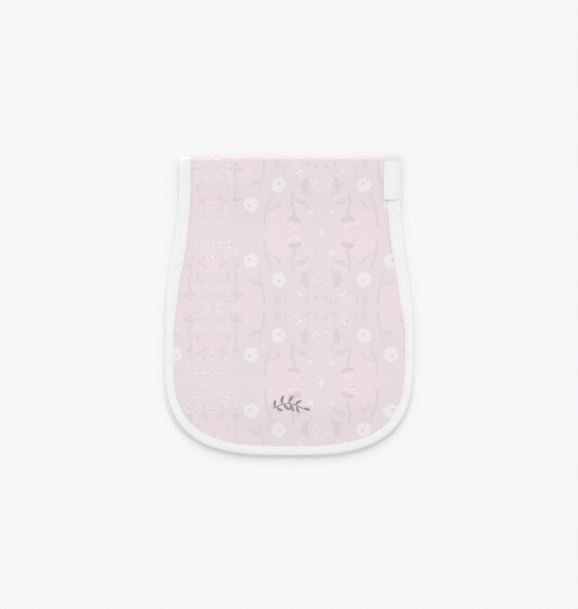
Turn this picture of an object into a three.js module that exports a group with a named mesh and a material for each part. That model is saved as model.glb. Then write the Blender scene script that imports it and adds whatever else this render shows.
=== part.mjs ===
// A contoured burp cloth, folded in half across its neck and laid flat: an hourglass of soft printed cotton
// with a white binding wrapped round its whole edge, and a small woven label folded over that binding.
// Millimetres, +Z up. The fold lies towards +Y, the rounded ends towards -Y, and the cloth rests on z = 0.
import * as THREE from "three";

// The cloth seen from above, folded
const foldedLength = 283;
const neckHalfWidth = 104.3;
const lobeFrom = 207; // from the fold, where the rounded end begins
// Where each side starts and stops widening, from the fold
const sides = {
  left: { way: -1, widensFrom: 12, widensTo: 150 },
  right: { way: 1, widensFrom: 30, widensTo: 165 },
};
// Each half: its way from the crest, half its width at the belly, how much shorter it is than the whole,
// how square its end is (2 is an ellipse) and how far the end lies to one side
const halves = {
  upper: { way: 1, belly: 117.2, short: 0, squareness: 2.6, slip: -1.6 },
  lower: { way: -1, belly: 119.4, short: 1.0, squareness: 2.8, slip: -2.0 },
};

// Thicknesses
const clothFull = 2.4; // in the middle
const clothRim = 1.0; // pressed together under the binding
const clothThickensFrom = 8; // from the edge
const clothThickensOver = 40;
const bindingWall = 0.7;
const seamGap = 0.35;
const bindingGroove = clothRim / 2 + seamGap;
const bindingHalfHeight = bindingGroove + bindingWall;
const labelThickness = 1.0;

// How the halves lie on each other: the layers part at the fold and close towards the ends
const layerGap = labelThickness + 2 * seamGap; // between the bindings beside the fold
const layerGapAtEnd = 0.4;
const closesFrom = 150;
const closesOver = 130;
const foldRadius = bindingHalfHeight + layerGap / 2; // of the middle of the cloth
const foldQuarter = (Math.PI / 2) * foldRadius; // cloth taken up by a quarter of a turn
const foldCentreY = foldedLength / 2 - foldRadius - bindingHalfHeight;
const foldCentreZ = bindingHalfHeight + foldRadius;
const clothLength = foldCentreY + foldedLength / 2 + foldQuarter; // from the crest to the end
const settlesFrom = 2; // beyond the fold, where the lower half starts to sink to the surface
const settlesOver = 26;
const settles = bindingHalfHeight - clothFull / 2;

// Soft rises of the upper half, where it doesn't lie quite flat
const softRises = [
  { x: -98, y: -118, reach: 50, height: 0.8 },
  { x: 112, y: -40, reach: 60, height: 0.5 },
  { x: -60, y: 30, reach: 55, height: 0.5 },
  { x: 64, y: -86, reach: 48, height: 0.7 },
];

// How wide the binding shows, by distance from the crest of the fold
const bindingWidths = [
  { from: 0, left: 9.9, right: 11.6 },
  { from: 50, left: 10.2, right: 12.4 },
  { from: 85, left: 11.5, right: 12.8 },
  { from: 132, left: 10.0, right: 11.0 },
  { from: 174, left: 6.9, right: 7.6 },
  { from: 215, left: 7.1, right: 7.1 },
  { from: 262, left: 8.1, right: 8.0 },
];
const bindingRoll = 1.9; // from its outer edge to where its top is level
const bindingFloor = 1.6; // from its outer edge to the floor of its groove
const clothInset = 2.0; // from its outer edge to the cut edge of the cloth inside it

// The label, folded round the binding of the upper half beside the fold
const labelFrom = 0.5; // share of the fold's quarter turn that its face leaves bare
const labelLength = 39;
const labelReach = { over: 15.4, under: 10.5 }; // from the binding's outer edge
const labelStandoff = seamGap + labelThickness / 2; // from the binding to the middle of the label

// Facets
const foldSteps = 4; // in a quarter of a turn
const sideSteps = 27;
const sharesAcross = [0, 0.042, 0.07, 0.105, 0.155, 0.22, 0.3, 0.4]; // from either edge to the middle
const rollSteps = 3; // in a quarter of the binding's outer edge
const lipSteps = 2; // in a quarter of its inner edge
const labelBendRows = 3; // on the bend of the fold
const labelRows = 6; // beyond it
const outlineSteps = 400; // for measuring along the outline
const endShare = 0.86; // length of edge that counts as half of the end, over half the width at the belly

const quarterTurn = Math.PI / 2;
const between = (a, b, t) => a + (b - a) * t;

function smooth(t) {
  const c = THREE.MathUtils.clamp(t, 0, 1);
  return c * c * (3 - 2 * c);
}

// Values at even steps from one number to another, both included
function steps(from, to, count) {
  return Array.from({ length: count + 1 }, (_, i) => between(from, to, i / count));
}

// In the flat cloth u runs across and s along: 0 at the crest of the fold, + on the upper half, - on the lower

// One side of one half: the distance out from its middle line and from the crest, at a place t from 0 to 2.
// A straight neck, a cosine out to the belly and a straight run end at 1, and a superellipse rounds the end.
function outlineAt(half, side, t) {
  if (t <= 1) {
    const distance = lobeFrom * t;
    const widened = (distance - side.widensFrom) / (side.widensTo - side.widensFrom);
    const share = 0.5 - 0.5 * Math.cos(Math.PI * THREE.MathUtils.clamp(widened, 0, 1));
    return [between(neckHalfWidth, half.belly, share), distance];
  }
  const angle = quarterTurn * (t - 1);
  const power = 2 / half.squareness;
  return [
    half.belly * Math.max(0, Math.cos(angle)) ** power,
    between(lobeFrom, clothLength - half.short, Math.sin(angle) ** power),
  ];
}

// That side's whole length, and the flat point at a length along it
function measuredSide(half, side) {
  const points = steps(0, 2, outlineSteps).map((t) => outlineAt(half, side, t));
  const lengths = [0];
  for (let i = 1; i < points.length; i++) {
    const [u0, d0] = points[i - 1];
    const [u1, d1] = points[i];
    lengths.push(lengths[i - 1] + Math.hypot(u1 - u0, d1 - d0));
  }
  const whole = lengths.at(-1);
  const at = (length) => {
    const next = Math.max(1, lengths.findIndex((l) => l >= Math.min(length, whole)));
    const t = (Math.min(length, whole) - lengths[next - 1]) / (lengths[next] - lengths[next - 1]);
    const [out, distance] = [0, 1].map((k) => between(points[next - 1][k], points[next][k], t));
    return [side.way * out + half.slip * (distance / clothLength), half.way * distance];
  };
  return { whole, at };
}

const sharesAll = [...sharesAcross, 0.5, ...sharesAcross.map((share) => 1 - share).reverse()];

// The edge of one half as stations: each side from the crest to its corner, and the end from left to right
function stationsOf(half) {
  const halfEnd = half.belly * endShare;
  const left = measuredSide(half, sides.left);
  const right = measuredSide(half, sides.right);
  const sideStations = ({ whole, at }) => [
    ...steps(0, foldQuarter, foldSteps).map(at),
    ...steps(foldQuarter, whole - halfEnd, sideSteps).slice(1).map(at),
  ];
  const endStation = (share) => {
    const { whole, at } = share < 0.5 ? left : right;
    return at(whole - Math.abs(2 * share - 1) * halfEnd);
  };
  return { left: sideStations(left), right: sideStations(right), end: sharesAll.map(endStation) };
}

const upper = stationsOf(halves.upper);
const lower = stationsOf(halves.lower);
const sideCount = upper.right.length - 1;
const endCount = sharesAll.length - 1;

// The whole edge as a closed loop: up the right side from the lower corner, round the upper end and back
const edgeLoop = [
  ...lower.right.slice(1).reverse(),
  ...upper.right.slice(0, -1),
  ...upper.end.slice().reverse(),
  ...upper.left.slice(0, -1).reverse(),
  ...lower.left.slice(1),
  ...lower.end.slice(1, -1),
];

// At each station of the edge, the way inwards in the flat cloth
const edgeInward = edgeLoop.map((_, i) => {
  const before = edgeLoop.at(i - 1);
  const after = edgeLoop[(i + 1) % edgeLoop.length];
  const along = new THREE.Vector2(after[0] - before[0], after[1] - before[1]).normalize();
  return [-along.y, along.x];
});

function inFromEdge(station, distance) {
  return [0, 1].map((k) => edgeLoop[station][k] + edgeInward[station][k] * distance);
}

// Distance from a point of the flat cloth to its edge
function distanceToEdge(u, s) {
  const distances = edgeLoop.map(([u0, s0], i) => {
    const [u1, s1] = edgeLoop[(i + 1) % edgeLoop.length];
    const du = u1 - u0;
    const ds = s1 - s0;
    const t = THREE.MathUtils.clamp(((u - u0) * du + (s - s0) * ds) / (du * du + ds * ds), 0, 1);
    return Math.hypot(u - u0 - t * du, s - s0 - t * ds);
  });
  return Math.min(...distances);
}

// From the flat cloth to the folded one, level with the middle of the binding: the point, and the way out of
// the outer face there
function folded(u, s) {
  const distance = Math.abs(s);
  if (distance < foldQuarter) {
    const turn = s / foldRadius;
    const out = new THREE.Vector3(0, Math.cos(turn), Math.sin(turn));
    const at = new THREE.Vector3(u, foldCentreY, foldCentreZ).addScaledVector(out, foldRadius);
    return { at, out };
  }
  const way = Math.sign(s);
  const at = new THREE.Vector3(u, foldCentreY - (distance - foldQuarter), foldCentreZ + way * foldRadius);
  if (way > 0) {
    const away = smooth((distance - foldQuarter - settlesFrom) / settlesOver);
    for (const rise of softRises) {
      const far = Math.hypot(u - rise.x, at.y - rise.y) / rise.reach;
      at.z += away * rise.height * Math.exp(-far * far);
    }
    at.z -= (layerGap - layerGapAtEnd) * smooth((distance - closesFrom) / closesOver);
  }
  return { at, out: new THREE.Vector3(0, 0, way) };
}

// The printed cloth at a point of the flat: its middle, the way out, and its thickness there
function clothAt(u, s) {
  const place = folded(u, s);
  const plump = smooth((distanceToEdge(u, s) - clothThickensFrom) / clothThickensOver);
  const settled = smooth((-s - foldQuarter - settlesFrom) / settlesOver);
  place.at.z -= settles * plump * settled;
  return { ...place, thickness: between(clothRim, clothFull, plump) };
}

// A closed mesh from its points and triangles
function meshOf(name, points, triangles, material) {
  const numbers = points.flatMap((point) => [...point]);
  const geometry = new THREE.BufferGeometry();
  geometry.setAttribute("position", new THREE.Float32BufferAttribute(numbers, 3));
  geometry.setIndex(triangles);
  geometry.computeVertexNormals();
  const mesh = new THREE.Mesh(geometry, material);
  mesh.name = name;
  return mesh;
}

// A sheet over a grid of {at, out, thickness}, whose rows and columns turn clockwise about out
function sheetMesh(name, grid, material) {
  const rows = grid.length;
  const columns = grid[0].length;
  const places = grid.flat();
  const face = (side) => places.map((p) => p.at.clone().addScaledVector(p.out, (side * p.thickness) / 2));
  const points = [...face(1), ...face(-1)];
  const triangles = [];
  const quad = (a, b, c, d) => {
    const acrossFirst = points[a].distanceTo(points[c]) <= points[b].distanceTo(points[d]);
    triangles.push(...(acrossFirst ? [a, b, c, a, c, d] : [a, b, d, b, c, d]));
  };
  const at = (row, column) => row * columns + column;
  for (let r = 0; r < rows - 1; r++)
    for (let c = 0; c < columns - 1; c++) {
      const cell = [at(r, c), at(r + 1, c), at(r + 1, c + 1), at(r, c + 1)];
      quad(...cell);
      quad(...cell.map((i) => i + places.length).reverse());
    }
  const rim = [
    ...steps(0, rows - 2, rows - 2).map((r) => at(r, 0)),
    ...steps(0, columns - 2, columns - 2).map((c) => at(rows - 1, c)),
    ...steps(rows - 1, 1, rows - 2).map((r) => at(r, columns - 1)),
    ...steps(columns - 1, 1, columns - 2).map((c) => at(0, c)),
  ];
  rim.forEach((a, i) => {
    const b = rim[(i + 1) % rim.length];
    quad(a, a + places.length, b + places.length, b);
  });
  return meshOf(name, points, triangles, material);
}

// The printed cloth: a patch between the two sides and the two ends of the inset edge, laid over the fold
function printedPanel() {
  const last = 2 * sideCount;
  const inset = edgeLoop.map((_, i) => inFromEdge(i, clothInset));
  // Both sides run from the lower corner to the upper, and both ends from left to right
  const right = inset.slice(0, last + 1);
  const upperEnd = inset.slice(last, last + endCount + 1).reverse();
  const left = inset.slice(last + endCount, 2 * last + endCount + 1).reverse();
  const lowerEnd = [left[0], ...inset.slice(2 * last + endCount + 1), right[0]];
  const corners = (k, share, along) =>
    between(between(left[0][k], right[0][k], share), between(left[last][k], right[last][k], share), along);
  const grid = right.map((_, row) => {
    const along = row / last;
    return sharesAll.map((share, column) => {
      const [u, s] = [0, 1].map(
        (k) =>
          between(lowerEnd[column][k], upperEnd[column][k], along) +
          between(left[row][k], right[row][k], share) -
          corners(k, share, along),
      );
      return clothAt(u, s);
    });
  });
  const material = new THREE.MeshStandardMaterial({ color: 0xe9dadd, roughness: 0.92, metalness: 0 });
  return sheetMesh("printed_panel", grid, material);
}

function bindingWidth(u, s) {
  const side = u < 0 ? "left" : "right";
  const distance = Math.abs(s);
  const next = bindingWidths.findIndex((row) => row.from > distance);
  if (next < 0) return bindingWidths.at(-1)[side];
  const [a, b] = [bindingWidths[next - 1], bindingWidths[next]];
  return between(a[side], b[side], smooth((distance - a.from) / (b.from - a.from)));
}

// The binding's section as [distance in from its outer edge, height from the middle]: a rolled outer edge,
// level faces, rounded inner lips and the groove that holds the cloth
function bindingSection(width) {
  const lip = (angle) => [
    width - bindingWall * (1 - Math.cos(angle)),
    bindingGroove + bindingWall * Math.sin(angle),
  ];
  const roll = (angle) => [bindingRoll * (1 - Math.cos(angle)), bindingHalfHeight * Math.sin(angle)];
  const above = [...steps(0, quarterTurn, lipSteps).map(lip), ...steps(quarterTurn, 0, rollSteps).map(roll)];
  const below = above.slice(0, -1).reverse().map(([inward, height]) => [inward, -height]);
  return [...above, ...below, [bindingFloor, -bindingGroove], [bindingFloor, bindingGroove]];
}

// The binding: its section carried round the whole folded edge
function edgeBinding() {
  const points = edgeLoop.flatMap(([u, s], i) =>
    bindingSection(bindingWidth(u, s)).map(([inward, height]) => {
      const { at, out } = folded(...inFromEdge(i, inward));
      return at.addScaledVector(out, height);
    }),
  );
  const around = points.length / edgeLoop.length;
  const triangles = [];
  points.forEach((_, a) => {
    const section = Math.floor(a / around) * around;
    const d = section + ((a + 1 - section) % around);
    const b = (a + around) % points.length;
    const c = (d + around) % points.length;
    triangles.push(a, b, c, a, c, d);
  });
  const material = new THREE.MeshStandardMaterial({ color: 0xf1f1ef, roughness: 0.88, metalness: 0 });
  return meshOf("edge_binding", points, triangles, material);
}

// The label: a strip folded round the rolled edge of the binding, its face starting on the bend of the fold
function sideLabel() {
  const turn = { in: bindingRoll + labelStandoff, up: bindingHalfHeight + labelStandoff };
  const level = (inward, way) => ({ inward, height: way * turn.up, facing: [0, way] });
  const bend = (angle) => {
    const [cos, sin] = [Math.cos(angle), Math.sin(angle)];
    const facing = [...new THREE.Vector2(-cos / turn.in, sin / turn.up).normalize()];
    return { inward: bindingRoll - turn.in * cos, height: turn.up * sin, facing };
  };
  const section = [
    level(labelReach.over, 1),
    level((labelReach.over + bindingRoll) / 2, 1),
    ...steps(quarterTurn, -quarterTurn, 2 * rollSteps).map(bend),
    level(labelReach.under, -1),
  ];
  const { at: outline } = measuredSide(halves.upper, sides.right);
  const pastBend = foldQuarter + 2 * seamGap;
  const end = foldQuarter * labelFrom + labelLength;
  const rowPlaces = [
    ...steps(0, 1, labelBendRows).map((share) => (from) => between(from, pastBend, share)),
    ...steps(pastBend, end, labelRows).slice(1).map((place) => () => place),
  ];
  const grid = rowPlaces.map((placeFrom) =>
    section.map(({ inward, height, facing }) => {
      const faceShare = (1 + height / turn.up) / 2;
      const from = between(foldQuarter + seamGap, foldQuarter * labelFrom, faceShare);
      const [u, s] = outline(placeFrom(from));
      const { at, out } = folded(u - inward, s);
      const outwards = new THREE.Vector3(-facing[0], 0, 0).addScaledVector(out, facing[1]);
      return { at: at.addScaledVector(out, height), out: outwards, thickness: labelThickness };
    }),
  );
  const material = new THREE.MeshStandardMaterial({ color: 0xf4f4f3, roughness: 0.7, metalness: 0 });
  return sheetMesh("side_label", grid, material);
}

const burpCloth = new THREE.Group();
burpCloth.add(printedPanel(), edgeBinding(), sideLabel());

// The origin is under the middle of the whole outline
const middle = new THREE.Box3().setFromObject(burpCloth).getCenter(new THREE.Vector3());
burpCloth.position.set(-middle.x, -middle.y, 0);

export default burpCloth;
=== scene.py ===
import bpy
import numpy as np
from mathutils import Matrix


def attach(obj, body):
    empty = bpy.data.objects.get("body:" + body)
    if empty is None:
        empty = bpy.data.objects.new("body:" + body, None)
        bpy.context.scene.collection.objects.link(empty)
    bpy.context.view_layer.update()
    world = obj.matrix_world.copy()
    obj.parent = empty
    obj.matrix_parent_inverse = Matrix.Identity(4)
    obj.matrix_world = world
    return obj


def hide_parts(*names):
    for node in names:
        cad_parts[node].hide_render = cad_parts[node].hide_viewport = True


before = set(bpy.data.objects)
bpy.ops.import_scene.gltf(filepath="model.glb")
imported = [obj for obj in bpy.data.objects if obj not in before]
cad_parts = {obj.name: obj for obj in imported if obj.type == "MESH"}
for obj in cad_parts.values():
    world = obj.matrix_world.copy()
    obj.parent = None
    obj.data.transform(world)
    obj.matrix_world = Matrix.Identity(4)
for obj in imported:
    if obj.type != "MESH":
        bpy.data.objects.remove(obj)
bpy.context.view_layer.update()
print("packed cloth loaded:", sorted(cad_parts))


def named(columns, rows):
    # the rows of a table as dictionaries, by the names of its columns
    return [dict(zip(columns, row)) for row in rows]


# The cloth folded in half, in metres: fold towards +Y, rounded ends towards -Y, resting on z = 0
cloth = {
    "foldedLength": 0.283,
    "neckHalfWidth": 0.1043,
    "thickness": 0.0024,
    "rimThickness": 0.0010,  # pressed together under the binding
    "thickensFrom": 0.008,  # in from the edge
    "thickensOver": 0.040,
    "inset": 0.0020,  # cut edge of the cloth, in from the binding's outer edge
    "foldRadius": 0.0021,  # of the middle surface
    "foldLevel": 0.00340,  # height of the fold's axis
    "foldReach": 0.00365,  # from the fold's axis to the outside of the fold
    "lowerLevel": 0.0011,  # middle of the lower half's edge
    "settlesFrom": 0.002,  # beyond the fold, where the lower half sinks to that level
    "settlesOver": 0.026,
    "upperLevel": 0.0035,  # and of the upper half's, once the halves have closed beyond the fold
    "closesFrom": 0.006,
    "closesOver": 0.070,
    "loft": 0.0027,  # the upper half stands up softly away from its edge
    "loftFrom": 0.050,
    "loftOver": 0.070,
    "squareness": 3.0,  # of the rounded ends, where 2 is an ellipse
    "endShare": 0.86,  # length of edge in half of the end, over half the width at the belly
}
# way: the sign of the distance s along the flat cloth; belly: half the greatest width; lobeFrom: where the
# rounded end begins, from the crest; short: how much sooner it ends; slip: how far its end lies to the right
halves = {
    "upper": {"way": 1, "belly": 0.1172, "lobeFrom": 0.190, "short": 0.0, "slip": -0.0014},
    "lower": {"way": -1, "belly": 0.1184, "lobeFrom": 0.200, "short": 0.0007, "slip": -0.0020},
}
sides = {
    "left": {"way": -1, "widensFrom": 0.022, "widensTo": 0.156},
    "right": {"way": 1, "widensFrom": 0.036, "widensTo": 0.168},
}
softRises = named(("x", "y", "reach", "height"), [
    (-0.098, -0.118, 0.050, 0.0008),
    (0.112, -0.040, 0.060, 0.0005),
    (-0.060, 0.030, 0.055, 0.0005),
    (0.064, -0.086, 0.048, 0.0007),
])
# steps in which the edge is measured, and how many points are compared with it at once
measuring = {"outlineSteps": 1600, "foldSteps": 4, "sideSteps": 90, "endSteps": 90, "pointsAtOnce": 2000}
foldRadius = cloth["foldRadius"]
foldQuarter = np.pi / 2 * foldRadius
foldY = cloth["foldedLength"] / 2 - cloth["foldReach"]
clothLength = foldY + cloth["foldedLength"] / 2 + foldQuarter


def smoothStep(t):
    # 3t^2 - 2t^3 between 0 and 1, level outside
    c = np.clip(t, 0.0, 1.0)
    return c * c * (3.0 - 2.0 * c)


def sideOutline(half, side, t):
    # t from 0 to 1: half the neck's width plus half a cosine wave out to the belly, by distance from the
    # crest; t from 1 to 2: a superellipse, out = belly * cos^(2/n), distance = lobeFrom + rest * sin^(2/n),
    # where n is the squareness
    distance = half["lobeFrom"] * np.minimum(t, 1.0)
    widensOver = side["widensTo"] - side["widensFrom"]
    wave = 0.5 - 0.5 * np.cos(np.pi * np.clip((distance - side["widensFrom"]) / widensOver, 0.0, 1.0))
    out = cloth["neckHalfWidth"] + (half["belly"] - cloth["neckHalfWidth"]) * wave
    angle = np.pi / 2 * np.clip(t - 1.0, 0.0, 1.0)
    power = 2.0 / cloth["squareness"]
    rest = clothLength - half["short"] - half["lobeFrom"]
    out = np.where(t > 1.0, half["belly"] * np.maximum(np.cos(angle), 0.0) ** power, out)
    distance = np.where(t > 1.0, half["lobeFrom"] + rest * np.sin(angle) ** power, distance)
    return out, distance


def measuredSide(half, side):
    # the side's whole length, and a function from length along it to the flat point (u across, s along)
    out, distance = sideOutline(half, side, np.linspace(0.0, 2.0, measuring["outlineSteps"] + 1))
    lengths = np.concatenate([[0.0], np.cumsum(np.hypot(np.diff(out), np.diff(distance)))])

    def at(length):
        o, d = np.interp(length, lengths, out), np.interp(length, lengths, distance)
        return np.stack([side["way"] * o + half["slip"] * d / clothLength, half["way"] * d], axis=-1)

    return lengths[-1], at


def halfStations(half, foldSteps, sideSteps, shares):
    # one half's edge: each side from the crest to its corner, and the end from left to right by share
    halfEnd = half["belly"] * cloth["endShare"]
    made = {}
    for name, side in sides.items():
        whole, at = measuredSide(half, side)
        bend = np.linspace(0.0, foldQuarter, foldSteps + 1)
        run = np.linspace(foldQuarter, whole - halfEnd, sideSteps + 1)[1:]
        made[name] = at(np.concatenate([bend, run]))
        made[name + "End"] = at(whole - np.abs(2.0 * shares - 1.0) * halfEnd)
    end = np.where(shares[:, None] < 0.5, made["leftEnd"], made["rightEnd"])
    return made["left"], made["right"], end


def edgeLoop(foldSteps, sideSteps, shares):
    # the whole edge, closed: up the right side from the lower corner, round the upper end, down the left side
    # and back round the lower end
    upLeft, upRight, upEnd = halfStations(halves["upper"], foldSteps, sideSteps, shares)
    lowLeft, lowRight, lowEnd = halfStations(halves["lower"], foldSteps, sideSteps, shares)
    return np.concatenate(
        [lowRight[:0:-1], upRight[:-1], upEnd[::-1], upLeft[:-1][::-1], lowLeft[1:], lowEnd[1:-1]]
    )


def edgeInward(loop):
    # the unit normal of the loop that points into the cloth
    along = np.roll(loop, -1, axis=0) - np.roll(loop, 1, axis=0)
    along /= np.linalg.norm(along, axis=1, keepdims=True)
    return np.stack([-along[:, 1], along[:, 0]], axis=1)


def lengthAlong(loop):
    # length of edge from the loop's first point to each of its points, and the whole length
    steps = np.linalg.norm(np.roll(loop, -1, axis=0) - loop, axis=1)
    return np.concatenate([[0.0], np.cumsum(steps)[:-1]]), steps.sum()


measuringShares = np.linspace(0.0, 1.0, measuring["endSteps"] + 1)
measuringLoop = edgeLoop(measuring["foldSteps"], measuring["sideSteps"], measuringShares)
measuringLengths, edgeLength = lengthAlong(measuringLoop)
sideways = -(measuringLoop[:, 0].min() + measuringLoop[:, 0].max()) / 2  # centres the outline on x = 0
print("edge of the cloth: %.3f m round, moved sideways %.4f m" % (edgeLength, sideways))


def nearestEdge(points):
    # distance from each flat point to the edge, and the length along the edge at its foot
    start = measuringLoop
    step = np.roll(start, -1, axis=0) - start
    square = (step**2).sum(axis=1)
    distances, lengths = [], []
    for part in np.array_split(points, max(1, len(points) // measuring["pointsAtOnce"])):
        away = part[:, None, :] - start[None, :, :]
        t = np.clip((away * step).sum(axis=2) / square, 0.0, 1.0)
        gaps = np.linalg.norm(away - t[..., None] * step, axis=2)
        best = gaps.argmin(axis=1)
        rows = np.arange(len(part))
        distances.append(gaps[rows, best])
        lengths.append(measuringLengths[best] + t[rows, best] * np.sqrt(square[best]))
    return np.concatenate(distances), np.concatenate(lengths)


# calmed: the share of it that is lost where the halves have closed
unevenness = {"seed": 7, "waves": 9, "shortest": 0.036, "longest": 0.110, "height": 0.00018, "calmed": 0.65}


def smallWaves(x, y):
    # a sum of sine waves of random way, length and phase, taller where they are longer
    random = np.random.default_rng(unevenness["seed"])
    total = np.zeros_like(x)
    for _ in range(unevenness["waves"]):
        way, phase = random.uniform(0.0, 2 * np.pi, 2)
        length = random.uniform(unevenness["shortest"], unevenness["longest"])
        height = unevenness["height"] * length / unevenness["longest"]
        total += height * np.sin(2 * np.pi * (x * np.cos(way) + y * np.sin(way)) / length + phase)
    return total


def folded(points):
    # flat points to the folded middle surface: a half cylinder about the fold's axis, then two level layers,
    # the lower one sinking a little, the upper one rising in soft bumps and closing on the lower beyond the
    # fold; also the way out of the outer face
    u, s = points[..., 0], points[..., 1]
    distance = np.abs(s)
    bent = distance < foldQuarter
    turn = np.where(bent, s / foldRadius, np.sign(s) * np.pi / 2)
    out = np.stack([np.zeros_like(u), np.cos(turn), np.sin(turn)], axis=-1)
    x = u + sideways
    y = foldY + foldRadius * np.cos(turn) - np.maximum(distance - foldQuarter, 0.0)
    z = cloth["foldLevel"] + foldRadius * np.sin(turn)
    beyond = (distance - foldQuarter - cloth["settlesFrom"]) / cloth["settlesOver"]
    upper, lower = smoothStep(np.where(s > 0, beyond, 0.0)), smoothStep(np.where(s < 0, beyond, 0.0))
    for rise in softRises:
        far = np.hypot(u - rise["x"], y - rise["y"]) / rise["reach"]
        z = z + upper * rise["height"] * np.exp(-far * far)
    closing = smoothStep((s - cloth["closesFrom"]) / cloth["closesOver"])
    z = z + upper * smallWaves(x, y) * (1.0 - unevenness["calmed"] * closing)
    z = z - closing * (cloth["foldLevel"] + foldRadius - cloth["upperLevel"])
    z = z - lower * (cloth["foldLevel"] - foldRadius - cloth["lowerLevel"])
    return np.stack([x, y, z], axis=-1), out


wanderWaves = 6


def wander(length, seed, slowest=3, fastest=22):
    # slow uneven change along the edge, about -1 to 1: sines that fit the edge a whole number of times
    random = np.random.default_rng(seed)
    turns = 2 * np.pi * length / edgeLength
    total = np.zeros_like(turns)
    for cycles in random.integers(slowest, fastest, wanderWaves):
        total += np.sin(cycles * turns + random.uniform(0, 2 * np.pi))
    return total / (wanderWaves / 2)


# how far the gathers' phase drifts, how high they stand on average and how much that swells, with the fewest
# and the most cycles of each change round the edge
gathers = {"drift": 2.4, "driftCycles": (5, 40), "mean": 0.55, "swell": 0.45, "swellCycles": (5, 30)}


def gather(length, wave, seed):
    # uneven gathers along a seam: a sine of the given wave, whose phase wanders and whose height swells
    phase = round(edgeLength / wave) * 2 * np.pi * length / edgeLength
    phase = phase + gathers["drift"] * wander(length, seed, *gathers["driftCycles"])
    height = gathers["mean"] + gathers["swell"] * wander(length, seed + 1, *gathers["swellCycles"])
    return np.sin(phase) * height


binding = {
    # how wide it shows, by distance from the crest of the fold
    "widths": named(("from", "left", "right"), [
        (0.000, 0.0105, 0.0114),
        (0.050, 0.0110, 0.0118),
        (0.085, 0.0122, 0.0117),
        (0.132, 0.0108, 0.0108),
        (0.174, 0.0077, 0.0076),
        (0.215, 0.0077, 0.0077),
        (0.262, 0.0087, 0.0086),
        (0.300, 0.0088, 0.0088),
    ]),
    "half": 0.00110,  # half its thickness
    "lip": 0.00076,  # half its thickness at the sewn edge
    "lipRound": 0.00022,
    "slope": 0.0030,  # the sewn edge rises to full thickness over this
    "roll": 0.0031,  # and the outer edge rounds over this
    "floor": 0.0016,  # outer edge to the floor of the groove
    "foldSteps": 10,
    "sideSteps": 250,
    "endSteps": 200,
    "lipSteps": 3,
    "topSteps": 14,
    "topCrowding": 1.4,  # above 1 the steps lie closer beside the stitches
    "rollSteps": 7,
    "stitchIn": 0.0016,  # stitches, in from the sewn edge
    "stitchDip": 0.00014,
    "stitchReach": 0.0007,
    "gatherHeight": 0.00009,
    "gatherWave": 0.0068,
    "gatherReach": 0.0026,
    "gatherSeed": 5,
}


def bindingWidth(points):
    # the table's widths joined by smooth steps, left or right by the sign of u
    distance = np.abs(points[..., 1])
    starts = np.array([row["from"] for row in binding["widths"]])
    before = np.clip(np.searchsorted(starts, distance, side="right") - 1, 0, len(starts) - 2)
    t = smoothStep((distance - starts[before]) / (starts[before + 1] - starts[before]))
    widths = {}
    for side in sides:
        values = np.array([row[side] for row in binding["widths"]])
        widths[side] = values[before] + (values[before + 1] - values[before]) * t
    return np.where(points[..., 0] < 0.0, widths["left"], widths["right"])


def bindingTop(fromLip, length):
    # height of the binding's outer face over its middle: from the lip up a parabola to full thickness, less a
    # rounded dip along the stitches, plus gathers that fade away from them
    share = np.clip(fromLip / binding["slope"], 0.0, 1.0)
    height = binding["lip"] + (binding["half"] - binding["lip"]) * (1.0 - (1.0 - share) ** 2)
    fromStitch = fromLip - binding["stitchIn"]
    dip = binding["stitchDip"] * np.exp(-((fromStitch / binding["stitchReach"]) ** 2))
    waves = binding["gatherHeight"] * gather(length, binding["gatherWave"], binding["gatherSeed"])
    return height - dip + waves * np.exp(-np.abs(fromStitch) / binding["gatherReach"])


panelRelief = {
    "columns": 150,
    "foldSteps": 8,
    "sideSteps": 130,
    "edgeShare": 0.45,  # how much closer the columns lie towards the sides
    "freeFrom": -0.0010,  # beyond the binding's sewn edge, where the outer face is free to move
    "freeOver": 0.0020,
    "seamDip": 0.00052,  # the cloth dips along the binding, here more and there less
    "seamDipAt": 0.0006,
    "seamDipReach": 0.0016,
    "seamDipMean": 0.45,
    "seamDipSwell": 0.55,
    "seamDipSeed": 11,
    "gatherHeight": 0.00013,
    "gatherWave": 0.0092,
    "gatherReach": 0.0060,
    "gatherSeed": 3,
}


def clothFaces(points):
    # both faces of the cloth over flat points: the middle surface out and in by half the thickness, which
    # grows from the pressed rim to the full cloth; the upper half stands up softly away from its edge, and
    # the outer face dips and gathers beside the binding and stays above the floor
    at, out = folded(points)
    edge, length = nearestEdge(points.reshape(-1, 2))
    edge, length = edge.reshape(points.shape[:-1]), length.reshape(points.shape[:-1])
    plump = smoothStep((edge - cloth["thickensFrom"]) / cloth["thickensOver"])
    settled = smoothStep((-points[..., 1] - foldQuarter - cloth["settlesFrom"]) / cloth["settlesOver"])
    at[..., 2] -= (cloth["lowerLevel"] - cloth["thickness"] / 2) * plump * settled
    at[..., 2] += cloth["loft"] * plump * smoothStep((points[..., 1] - cloth["loftFrom"]) / cloth["loftOver"])
    thick = cloth["rimThickness"] + (cloth["thickness"] - cloth["rimThickness"]) * plump
    relief = panelRelief
    beyond = edge - bindingWidth(points)
    free = smoothStep((beyond - relief["freeFrom"]) / relief["freeOver"])
    dip = relief["seamDipMean"] + relief["seamDipSwell"] * wander(length, relief["seamDipSeed"])
    dip = relief["seamDip"] * np.clip(dip, 0.0, 1.0)
    dip = dip * np.exp(-(((beyond - relief["seamDipAt"]) / relief["seamDipReach"]) ** 2))
    waves = relief["gatherHeight"] * gather(length, relief["gatherWave"], relief["gatherSeed"])
    waves = waves * np.exp(-np.maximum(beyond, 0.0) / relief["gatherReach"])
    outer = at + out * (thick / 2 + free * (waves - dip))[..., None]
    outer[..., 2] = np.maximum(outer[..., 2], 0.0)
    return outer, at - out * (thick / 2)[..., None]


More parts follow.
